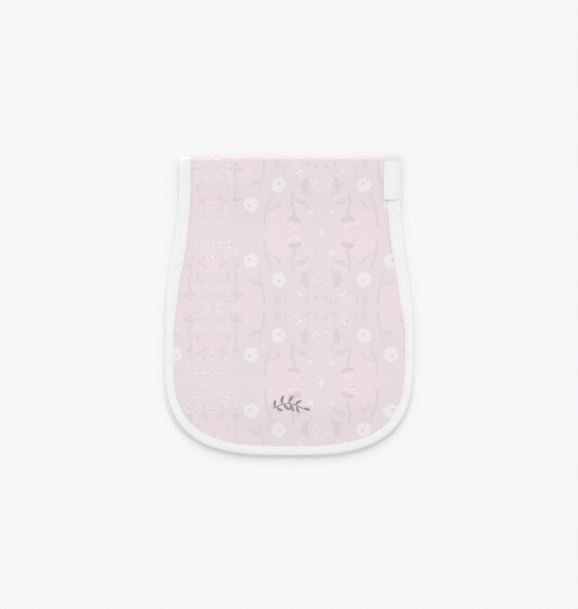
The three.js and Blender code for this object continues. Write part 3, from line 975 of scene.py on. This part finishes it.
paleStrokes = named(strokeColumns, [
    (2.0, 50.6, 9.4, 50.2, 4.2, 0.2, 0.6, 0.26),
    (11.4, 50.6, 18.2, 50.2, 3.8, 0.2, 0.6, 0.24),
    (5.2, 48.3, 11.0, 48.3, 0.9, 0.4, 0.0, 0.50),
    (12.8, 48.1, 17.6, 48.1, 0.9, 0.4, 0.0, 0.45),
    (1.4, 54.4, 7.0, 54.0, 4.4, 0.4, 0.0, 0.24),
    (12.2, 56.4, 17.4, 56.0, 4.6, 0.4, 0.0, 0.20),
    (3.4, 67.6, 9.0, 66.8, 4.4, 0.3, 0.0, 0.36),
    (89.8, 19.4, 94.4, 18.8, 4.6, 0.5, 0.0, 0.55),
    (99.6, 0.6, 103.4, 0.8, 1.8, 0.1, 0.0, 0.80),
    (101.9, -1.0, 102.1, 3.4, 1.8, 0.1, 0.0, 0.80),
    (76.2, 5.2, 82.0, 5.2, 0.9, 0.6, 0.0, 0.55),
    (80.2, 33.5, 87.0, 33.3, 1.1, 0.4, 0.3, 0.45),
    (90.4, 30.2, 90.6, 36.2, 0.8, 0.7, 0.0, 0.50),
    (91.8, 61.6, 91.6, 69.4, 1.4, 0.4, 0.0, 0.45),
    (79.7, 60.0, 79.4, 66.2, 1.2, 0.4, 0.0, 0.45),
    (17.0, 33.6, 17.0, 40.4, 1.8, 0.3, 0.0, 0.32),
    (65.8, 9.6, 70.2, 9.4, 0.9, 0.5, -0.8, 0.50),
    (72.0, 9.2, 74.8, 4.8, 1.1, 0.5, 0.3, 0.50),
    (11.9, 19.0, 12.0, 25.4, 0.9, 0.6, 0.4, 0.55),
    (18.2, 66.4, 22.6, 66.2, 0.8, 0.6, 1.2, 0.45),
    (18.4, 69.4, 22.8, 69.4, 0.8, 0.6, -0.6, 0.40),
])

# Specks of the tiny flowers, in millimetres on the repeat
speckColumns = ("x", "y", "size")
paleSpecks = named(speckColumns, [
    (72.3, 5.8, 1.0), (71.2, 7.0, 0.7), (80.3, 6.6, 1.1), (83.4, 59.0, 1.1), (79.3, 56.2, 1.0),
    (81.2, 58.0, 1.2), (71.8, 60.9, 0.8), (87.5, 53.4, 1.0), (95.2, 44.2, 1.1), (97.4, 41.6, 0.9),
    (96.8, 47.9, 1.1), (94.4, 46.8, 0.8), (98.6, 46.0, 0.8), (0.4, 23.6, 1.0), (0.2, 27.6, 0.8),
    (12.2, 23.6, 1.0), (12.7, 27.4, 0.8), (16.3, 9.2, 0.8), (14.9, 14.0, 1.0), (15.0, 67.3, 0.8),
    (14.4, 64.6, 0.7), (23.6, 67.6, 0.7), (22.8, 20.6, 0.9), (3.8, 69.2, 0.9), (96.4, 8.8, 0.8),
    (99.0, 6.4, 0.7), (78.2, 62.2, 0.8), (75.4, 67.0, 0.8), (75.4, 64.0, 0.7), (4.0, 9.4, 0.9),
    (7.2, 8.8, 1.1),
])
darkSpecks = named(speckColumns, [
    (72.8, 4.2, 0.8), (70.4, 8.0, 0.6), (78.3, 58.2, 0.9), (72.3, 62.4, 0.9), (88.8, 54.6, 0.8),
    (96.2, 45.8, 1.0), (98.2, 43.8, 0.9), (94.9, 49.2, 0.7), (0.2, 25.6, 1.0), (12.3, 25.5, 1.0),
    (10.4, 22.6, 0.8), (16.4, 11.6, 0.9), (16.4, 17.0, 0.8), (13.7, 66.0, 0.7), (16.6, 65.3, 0.7),
    (22.8, 24.8, 1.0), (97.6, 7.6, 0.7), (79.4, 51.6, 1.0), (75.4, 65.5, 0.7), (14.0, 41.8, 1.0),
    (8.2, 7.6, 0.9), (5.4, 6.8, 0.8),
])


def strokesOf(tree, group, place, rows):
    # every stroke of a table over the print, the strongest on top
    whole = 0.0
    for row in rows:
        start, end = np.array([row["x"], row["y"]]) / 1000, np.array([row["toX"], row["toY"]]) / 1000
        way, wide = end - start, row["wide"] / 1000
        long = float(np.linalg.norm(way))
        made = addNode(tree, "ShaderNodeGroup", {
            "Place": place,
            "Start": (*start, 0.0),
            "Along": (*(way / long**2), 0.0),
            "Aside": (-way[1] / long, way[0] / long, 0.0),
            "Long": long,
            "Bend": -4 * row["bow"] / 1000,
            "Swell": 2 * wide * (1 - row["ends"]),
            "Base": wide / 2 * row["ends"],
            "Ink": row["ink"],
        }, node_tree=group)
        whole = calc(tree, "MAXIMUM", whole, made.outputs["Mask"])
    return whole


def specksOf(tree, group, place, rows):
    # every speck of a table over the print
    whole = 0.0
    for row in rows:
        made = addNode(tree, "ShaderNodeGroup", {
            "Place": place,
            "Centre": (row["x"] / 1000, row["y"] / 1000, 0.0),
            "Inner": row["size"] / 1000 * printing["speckFull"],
            "Outer": row["size"] / 1000 * printing["speckGone"],
        }, node_tree=group)
        whole = calc(tree, "MAXIMUM", whole, made.outputs["Mask"])
    return whole


def newMaterial(name, roughness, sheen, sheenRoughness=0.5, specular=0.25):
    material = bpy.data.materials.new(name)
    material.use_nodes = True
    shader = next(n for n in material.node_tree.nodes if n.type == "BSDF_PRINCIPLED")
    shader.inputs["Roughness"].default_value = roughness
    shader.inputs["Sheen Weight"].default_value = sheen
    shader.inputs["Sheen Roughness"].default_value = sheenRoughness
    shader.inputs["Specular IOR Level"].default_value = specular
    return material, material.node_tree, shader


def weaveHeight(tree, place, pitch):
    # plain weave: the product of two sine waves, one across and one along
    parts = partsOf(tree, place)
    waves = [calc(tree, "SINE", calc(tree, "MULTIPLY", parts[key], 2 * np.pi / pitch)) for key in ("X", "Y")]
    return calc(tree, "MULTIPLY", *waves)


def noiseOf(tree, place, scale, detail, output="Fac"):
    made = addNode(tree, "ShaderNodeTexNoise", {"Vector": place, "Scale": scale, "Detail": detail})
    return made.outputs[output]


def dress(tree, shader, colour, height, relief):
    # the colour, and a bump from the height by the relief's distance and strength
    feed(tree, colour, shader.inputs["Base Color"])
    bump = addNode(tree, "ShaderNodeBump", {"Height": height, "Distance": relief[0], "Strength": relief[1]})
    feed(tree, bump.outputs["Normal"], shader.inputs["Normal"])


def flatPlace(tree):
    return addNode(tree, "ShaderNodeUVMap", uv_map="flat").outputs["UV"]


def objectPlace(tree):
    return addNode(tree, "ShaderNodeTexCoord").outputs["Object"]


def repeatPlace(tree, place):
    # the flat cloth brought into the repeat by mirroring, with the brush's unsteadiness added
    parts = partsOf(tree, place)
    fromU = calc(tree, "SUBTRACT", parts["X"], repeat["mirrorU"] - repeat["before"] * repeat["wide"])
    fromS = calc(tree, "SUBTRACT", parts["Y"], repeat["mirrorS"] - repeat["before"] * repeat["high"])
    x = calc(tree, "SUBTRACT", repeat["wide"], calc(tree, "PINGPONG", fromU, repeat["wide"]))
    y = calc(tree, "PINGPONG", fromS, repeat["high"])
    tile = addNode(tree, "ShaderNodeCombineXYZ", {"X": x, "Y": y}).outputs["Vector"]
    wobble = noiseOf(tree, place, *printing["wobbleNoise"], output="Color")
    wobble = vectorCalc(tree, "SUBTRACT", wobble, (0.5, 0.5, 0.5))
    return vectorCalc(tree, "MULTIPLY_ADD", wobble, (printing["wobble"], printing["wobble"], 0.0), tile)


def printedCotton():
    # clouds, strokes, specks and blossoms one over another, on a fine plain weave
    material, tree, shader = newMaterial("printedCotton", roughness=0.92, sheen=0.12)
    place = flatPlace(tree)
    drawn = repeatPlace(tree, place)
    cloud = addNode(tree, "ShaderNodeAttribute", attribute_name="cloud").outputs["Fac"]
    uneven = calc(tree, "MULTIPLY_ADD", noiseOf(tree, place, *printing["cloudNoise"]), 1.0, -0.5)
    cloud = calc(tree, "ADD", cloud, uneven)
    grey = calc(tree, "ADD", cloud, 0.0, clamp=True)
    colour = tint(tree, grey, printColours["ground"], printColours["grey"])
    pink = calc(tree, "MULTIPLY", cloud, -1.0, clamp=True)
    colour = tint(tree, pink, colour, printColours["pink"])
    stroke, speck, blossom = strokeGroup(), speckGroup(), blossomGroup()
    brush = calc(tree, "MULTIPLY_ADD", noiseOf(tree, place, *printing["brushNoise"]), *printing["brush"])
    rose = calc(tree, "MULTIPLY", strokesOf(tree, stroke, drawn, roseStrokes), brush, clamp=True)
    colour = tint(tree, rose, colour, printColours["rose"])
    ink = calc(tree, "MULTIPLY", strokesOf(tree, stroke, drawn, greyStrokes), brush, clamp=True)
    dark = calc(tree, "MULTIPLY", specksOf(tree, speck, drawn, darkSpecks), printing["darkSpecks"])
    colour = tint(tree, calc(tree, "MAXIMUM", ink, dark), colour, printColours["ink"])
    pale = strokesOf(tree, stroke, drawn, paleStrokes)
    pale = calc(tree, "MAXIMUM", pale, specksOf(tree, speck, drawn, paleSpecks))
    faded = soften(tree, noiseOf(tree, place, *printing["fadeNoise"]), *printing["fadeBand"])
    colour = tint(tree, calc(tree, "MULTIPLY", pale, faded), colour, printColours["pale"])
    wash = calc(tree, "MULTIPLY_ADD", noiseOf(tree, place, *printing["washNoise"]), *printing["wash"])
    for row in blossoms:
        made = addNode(tree, "ShaderNodeGroup", {
            "Place": drawn,
            "Centre": (row["x"] / 1000, row["y"] / 1000, 0.0),
            "Size": row["size"] / 1000,
            "Turn": row["turn"],
        }, node_tree=blossom).outputs
        colour = tint(tree, calc(tree, "MULTIPLY", made["Petals"], wash), colour, printColours["petal"])
        seams = calc(tree, "MULTIPLY", made["Seams"], printing["seams"])
        colour = tint(tree, seams, colour, printColours["seam"])
        heart = (row["x"] + row["heart"][0], row["y"] + row["heart"][1], printing["heartSize"])
        heart = specksOf(tree, speck, drawn, named(speckColumns, [heart]))
        colour = tint(tree, calc(tree, "MULTIPLY", heart, printing["hearts"]), colour, printColours["heart"])
    weave = weaveHeight(tree, place, printing["weave"])
    slubs = noiseOf(tree, place, *printing["slubNoise"])
    # the weave darkens the colour a little in its hollows, as painted shade, and the slubs add their own tone
    shade = calc(tree, "MULTIPLY_ADD", calc(tree, "ADD", weave, slubs), *printing["shade"])
    scaled = addNode(tree, "ShaderNodeVectorMath", {0: colour, "Scale": shade}, operation="SCALE")
    height = calc(tree, "MULTIPLY_ADD", slubs, printing["slubHeight"], weave)
    dress(tree, shader, scaled.outputs[0], height, printing["relief"])
    return material


jersey = {
    "ribs": {"Scale": 260.0, "Distortion": 1.2, "Detail": 2.0},
    "toneNoise": (90.0, 3.0),
    "toneBand": (0.3, 0.7),
    "tones": (shown(240, 239.5, 238), shown(243, 242.5, 241.5)),
    # painted shade: the binding a little greyer round the rounded end, over a band of y
    "end": shown(237.5, 239.5, 237),
    "endShadeBand": (-0.092, -0.134),  # of y
    # painted light: the rolled outer edge paler, most of all near the fold, a share of that elsewhere, none
    # towards the end
    "rolled": shown(255, 255, 253.5),
    "rolledLightBand": (0.0015, 0.0003),  # in from the outer edge
    "foldLightBand": (0.066, 0.118),  # of y, full above it
    "elsewhere": 0.25,  # share that is left below
    "fadeBand": (-0.100, -0.050),  # of y, none below it
    # painted shade: a duller patch on the binding at the right of the crest, beside the label
    "crest": shown(217, 216, 217),
    "crestShadeBandX": (0.080, 0.088),
    "crestShadeBandY": (0.1365, 0.1385),
    "fuzzNoise": (1500.0, 3.0),
    "fuzzHeight": 0.5,
    "relief": (0.00006, 0.4),
}


def whiteBinding():
    # soft white jersey: fine ribs across the strip, a little uneven in tone, with painted shade round the end
    # and at the right of the crest, and painted light on the rolled outer edge, most of all near the fold
    material, tree, shader = newMaterial("whiteBinding", roughness=0.88, sheen=0.12)
    place = flatPlace(tree)
    ribs = addNode(tree, "ShaderNodeTexWave", {"Vector": place, **jersey["ribs"]}, bands_direction="X")
    tone = soften(tree, noiseOf(tree, place, *jersey["toneNoise"]), *jersey["toneBand"])
    colour = tint(tree, tone, *jersey["tones"])
    at = partsOf(tree, objectPlace(tree))
    # painted shade round the rounded end
    colour = tint(tree, soften(tree, at["Y"], *jersey["endShadeBand"]), colour, jersey["end"])
    inward = partsOf(tree, place)["Y"]
    # painted light on the rolled outer edge, strongest near the fold
    paintedLight = soften(tree, at["Y"], *jersey["foldLightBand"])
    paintedLight = calc(tree, "MULTIPLY_ADD", paintedLight, 1 - jersey["elsewhere"], jersey["elsewhere"])
    paintedLight = calc(tree, "MULTIPLY", paintedLight, soften(tree, at["Y"], *jersey["fadeBand"]))
    paintedLight = calc(tree, "MULTIPLY", paintedLight, soften(tree, inward, *jersey["rolledLightBand"]))
    colour = tint(tree, paintedLight, colour, jersey["rolled"])
    # painted shade at the right of the crest
    crest = soften(tree, at["X"], *jersey["crestShadeBandX"])
    crest = calc(tree, "MULTIPLY", crest, soften(tree, at["Y"], *jersey["crestShadeBandY"]))
    colour = tint(tree, crest, colour, jersey["crest"])
    fuzz = noiseOf(tree, place, *jersey["fuzzNoise"])
    height = calc(tree, "MULTIPLY_ADD", fuzz, jersey["fuzzHeight"], ribs.outputs["Fac"])
    dress(tree, shader, colour, height, jersey["relief"])
    return material


tape = {
    "weave": 0.0006,
    "toneNoise": (300.0, 3.0),
    "toneBand": (0.3, 0.7),
    "tones": (shown(239, 241, 240.5), shown(242, 243, 242.5)),
    # painted shade down the roll, painted light at its outer edge and painted shade at its end by the fold;
    # X runs along its section from the free edge, Y along the side from the crest
    "shadeAndLightBands": named(("along", "from", "to", "colour"), [
        ("X", 0.0085, 0.0140, shown(235, 239, 239)),
        ("X", 0.0151, 0.0160, shown(255, 255, 255)),
        ("Y", 0.0052, 0.0026, shown(223, 222, 224)),
    ]),
    "relief": (0.00005, 0.35),
}


def wovenLabel():
    # smooth woven tape: a fine weave under a faint sheen, and soft bands of painted shade and light
    material, tree, shader = newMaterial("wovenLabel", roughness=0.55, sheen=0.06, sheenRoughness=0.35)
    place = flatPlace(tree)
    weave = weaveHeight(tree, place, tape["weave"])
    tone = soften(tree, noiseOf(tree, place, *tape["toneNoise"]), *tape["toneBand"])
    colour = tint(tree, tone, *tape["tones"])
    parts = partsOf(tree, place)
    # each band paints shade or light into the colour
    for band in tape["shadeAndLightBands"]:
        share = soften(tree, parts[band["along"]], band["from"], band["to"])
        colour = tint(tree, share, colour, band["colour"])
    dress(tree, shader, colour, weave, tape["relief"])
    return material


thread = {"toneNoise": (700.0, 3.0), "toneBand": (0.35, 0.65), "twist": 1400.0, "relief": (0.00005, 0.5)}


def sewingThread(name, dark, pale, roughness):
    # twisted thread: fine slanting lines and a slow change of tone
    material, tree, shader = newMaterial(name, roughness, sheen=0.2, sheenRoughness=0.3)
    place = objectPlace(tree)
    tone = soften(tree, noiseOf(tree, place, *thread["toneNoise"]), *thread["toneBand"])
    colour = tint(tree, tone, dark, pale)
    lines = {"Vector": place, "Scale": thread["twist"]}
    twist = addNode(tree, "ShaderNodeTexWave", lines, bands_direction="DIAGONAL")
    dress(tree, shader, colour, twist.outputs["Fac"], thread["relief"])
    return material


ground = {"halfWidth": 3.0, "below": 0.0002, "tone": 0.85}


def paleFloor():
    material, _, shader = newMaterial("paleFloor", roughness=0.95, sheen=0.0, specular=0.0)
    shader.inputs["Base Color"].default_value = (ground["tone"], ground["tone"], ground["tone"], 1.0)
    return material


camera = {
    "lens": 85.0,
    "sensor": 36.0,
    "frameHeight": 609,
    "pixel": 0.000946,  # of the cloth to one pixel of the frame
    "x": 0.0003,
    "y": 0.0014,
    "level": 0.004,  # the height at which that scale holds
}


def addCamera():
    # straight above, so high that the frame's height at the cloth is its pixels times a pixel's size
    height = camera["frameHeight"] * camera["pixel"] * camera["lens"] / camera["sensor"]
    data = bpy.data.cameras.new("camera")
    data.lens, data.sensor_width = camera["lens"], camera["sensor"]
    eye = bpy.data.objects.new("camera", data)
    eye.location = (camera["x"], camera["y"], height + camera["level"])
    bpy.context.scene.collection.objects.link(eye)
    bpy.context.scene.camera = eye


def addStage():
    # a wide pale floor under a soft sun from behind the fold and an even sky
    corners = np.array([[-1, -1], [1, -1], [1, 1], [-1, 1]]) * ground["halfWidth"]
    corners = np.column_stack([corners, np.full(4, -ground["below"])])
    floor = meshObject("floor", corners, [np.array([[0, 1, 2, 3]])])
    floor.data.materials.append(paleFloor())
    world = bpy.data.worlds.new("sky")
    world.use_nodes = True
    back = next(n for n in world.node_tree.nodes if n.type == "BACKGROUND")
    back.inputs["Color"].default_value = (1.0, 1.0, 1.0, 1.0)
    back.inputs["Strength"].default_value = lights["sky"]
    bpy.context.scene.world = world
    sun = bpy.data.lights.new("sun", "SUN")
    sun.energy = lights["sun"]
    sun.angle = np.radians(lights["sunSize"])
    lamp = bpy.data.objects.new("sun", sun)
    lamp.rotation_euler = (-np.radians(90 - lights["sunHeight"]), 0.0, 0.0)
    bpy.context.scene.collection.objects.link(lamp)
    bpy.context.scene.view_settings.view_transform = "Standard"


addCamera()
addStage()
print("camera, floor and lights set")

panel, cut, area = printedPanel()
panel.data.materials.append(printedCotton())
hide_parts("printed_panel")
print("printed cloth:", len(panel.data.polygons), "faces")

edge = edgeBinding()
edge.data.materials.append(whiteBinding())
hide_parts("edge_binding")
print("binding:", len(edge.data.polygons), "faces")

tab = sideLabel()
tab.data.materials.append(wovenLabel())
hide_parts("side_label")
print("label:", len(tab.data.polygons), "faces")

stitches = bindingStitches()
stitches.data.materials.append(sewingThread("whiteThread", shown(230, 231, 229), shown(241, 241, 240), 0.6))
motif = sewnSprig()
motif.data.materials.append(sewingThread("mauveThread", shown(150, 141, 144), shown(172, 163, 166), 0.45))
print("thread work:", len(stitches.data.polygons), "and", len(motif.data.polygons), "faces")

for piece in (panel, edge, tab, stitches, motif):
    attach(piece, "root")
